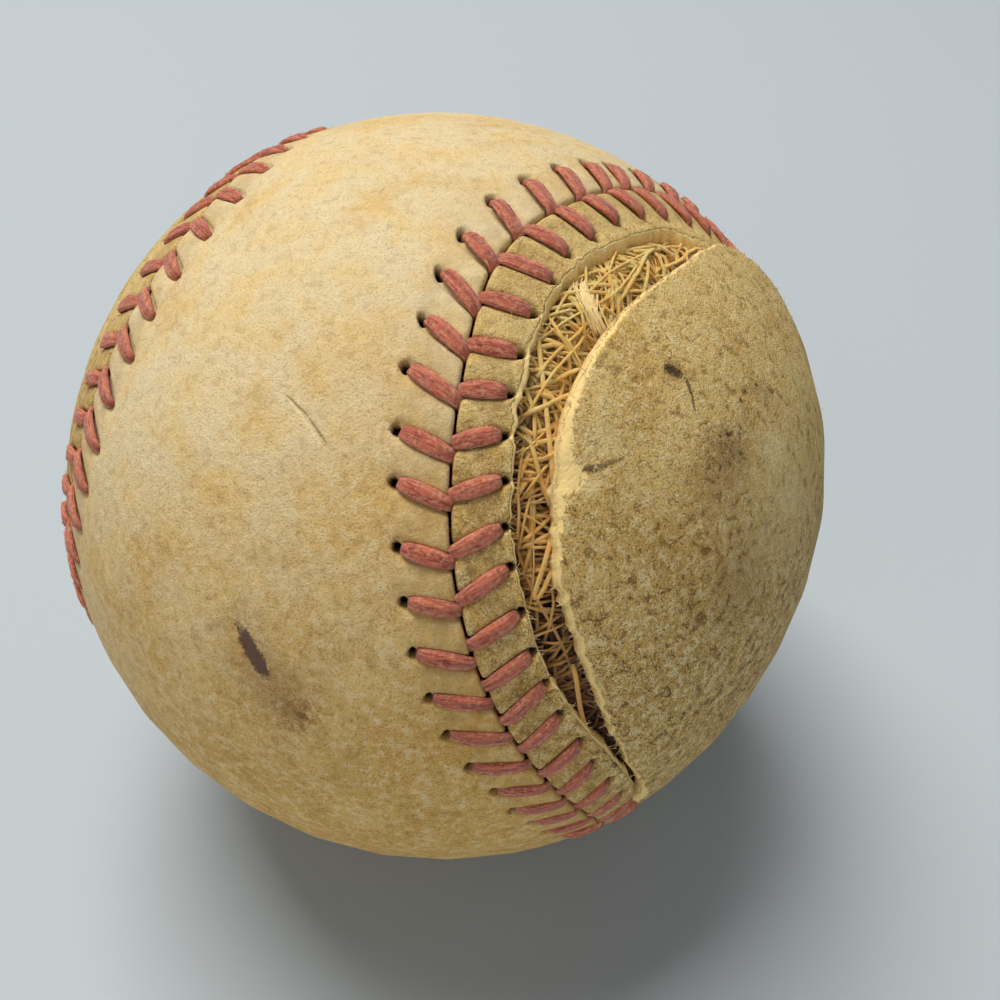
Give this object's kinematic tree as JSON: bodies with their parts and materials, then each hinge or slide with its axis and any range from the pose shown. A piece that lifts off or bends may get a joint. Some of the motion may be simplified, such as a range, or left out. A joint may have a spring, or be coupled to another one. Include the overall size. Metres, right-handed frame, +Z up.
{
  "type": "baseball",
  "caption": "Hand-sewn leather ball over a wound wool and cushioned cork core, its cover torn open beside the seam.",
  "frame": {"origin": "centre of the ball", "axes": "+Z up as the ball lies, -Y towards the viewer, +X to the viewer's right, on the torn side"},
  "size_m": [0.0741, 0.0737, 0.0741],
  "materials": {
    "cork": "moulded cork and rubber crumb",
    "black_rubber": "matt moulded rubber",
    "red_rubber": "matt moulded rubber",
    "grey_wool": "wound wool yarn",
    "white_wool": "wound wool yarn",
    "finishing_yarn": "wound cotton yarn, aged golden tan",
    "whole_leather": "aged, speckled and stained leather",
    "torn_leather": "aged leather, fuzzy and torn",
    "red_thread": "dusty waxed thread"
  },
  "bodies": {
    "root": {"cork_centre": "cork", "inner_rubber_upper": "black_rubber", "inner_rubber_lower": "black_rubber", "inner_rubber_washer": "red_rubber", "outer_rubber_upper": "red_rubber", "outer_rubber_lower": "red_rubber", "first_wool_winding": "grey_wool", "second_wool_winding": "white_wool", "third_wool_winding": "grey_wool", "finishing_winding": "finishing_yarn", "finishing_yarn": "finishing_yarn", "cover_whole_panel": "whole_leather", "cover_torn_panel": "torn_leather", "stitches_whole_side": "red_thread", "stitches_torn_side": "red_thread"}
  },
  "joints": []
}
